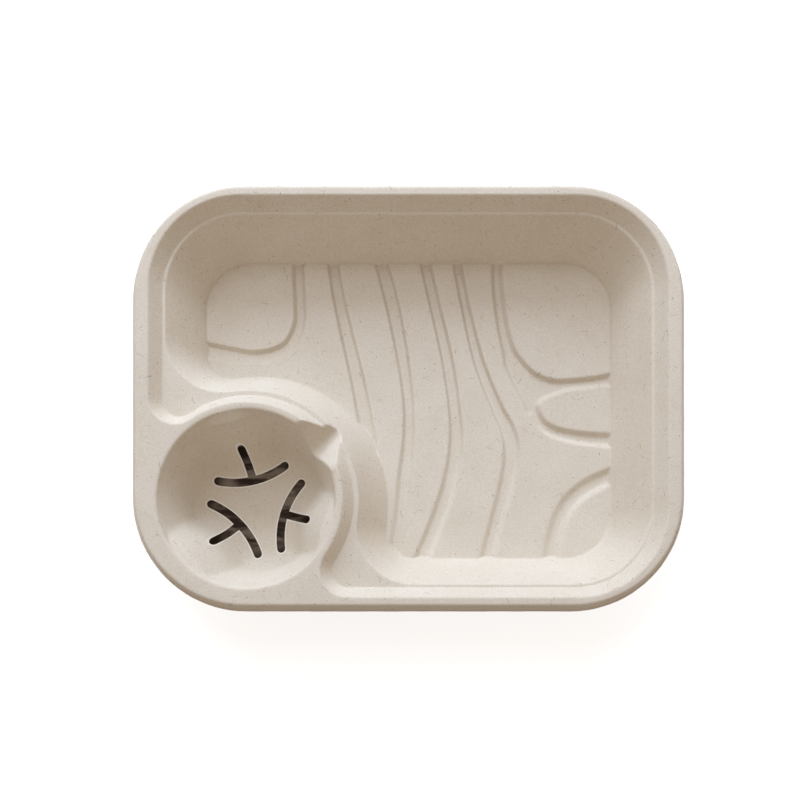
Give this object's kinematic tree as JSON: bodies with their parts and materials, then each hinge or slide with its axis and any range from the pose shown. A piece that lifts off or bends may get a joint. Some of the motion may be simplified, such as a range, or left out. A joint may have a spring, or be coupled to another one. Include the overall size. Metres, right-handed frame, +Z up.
{
  "type": "food tray with cup holder",
  "caption": "Moulded pulp food tray with a large L-shaped compartment, a round cup pocket with slots in its base, a stacking ledge and a turned-down rim.",
  "frame": {"origin": "centre of the bounding box, on the surface that the tray stands on", "axes": "+X along the length, away from the cup pocket's end; +Y along the width, away from the cup pocket's side; +Z up, out of the compartments"},
  "size_m": [0.27, 0.208, 0.04],
  "materials": {
    "pulp": "matt pressed bagasse pulp with fine fibres"
  },
  "bodies": {
    "root": {"tray": "pulp"}
  },
  "joints": []
}
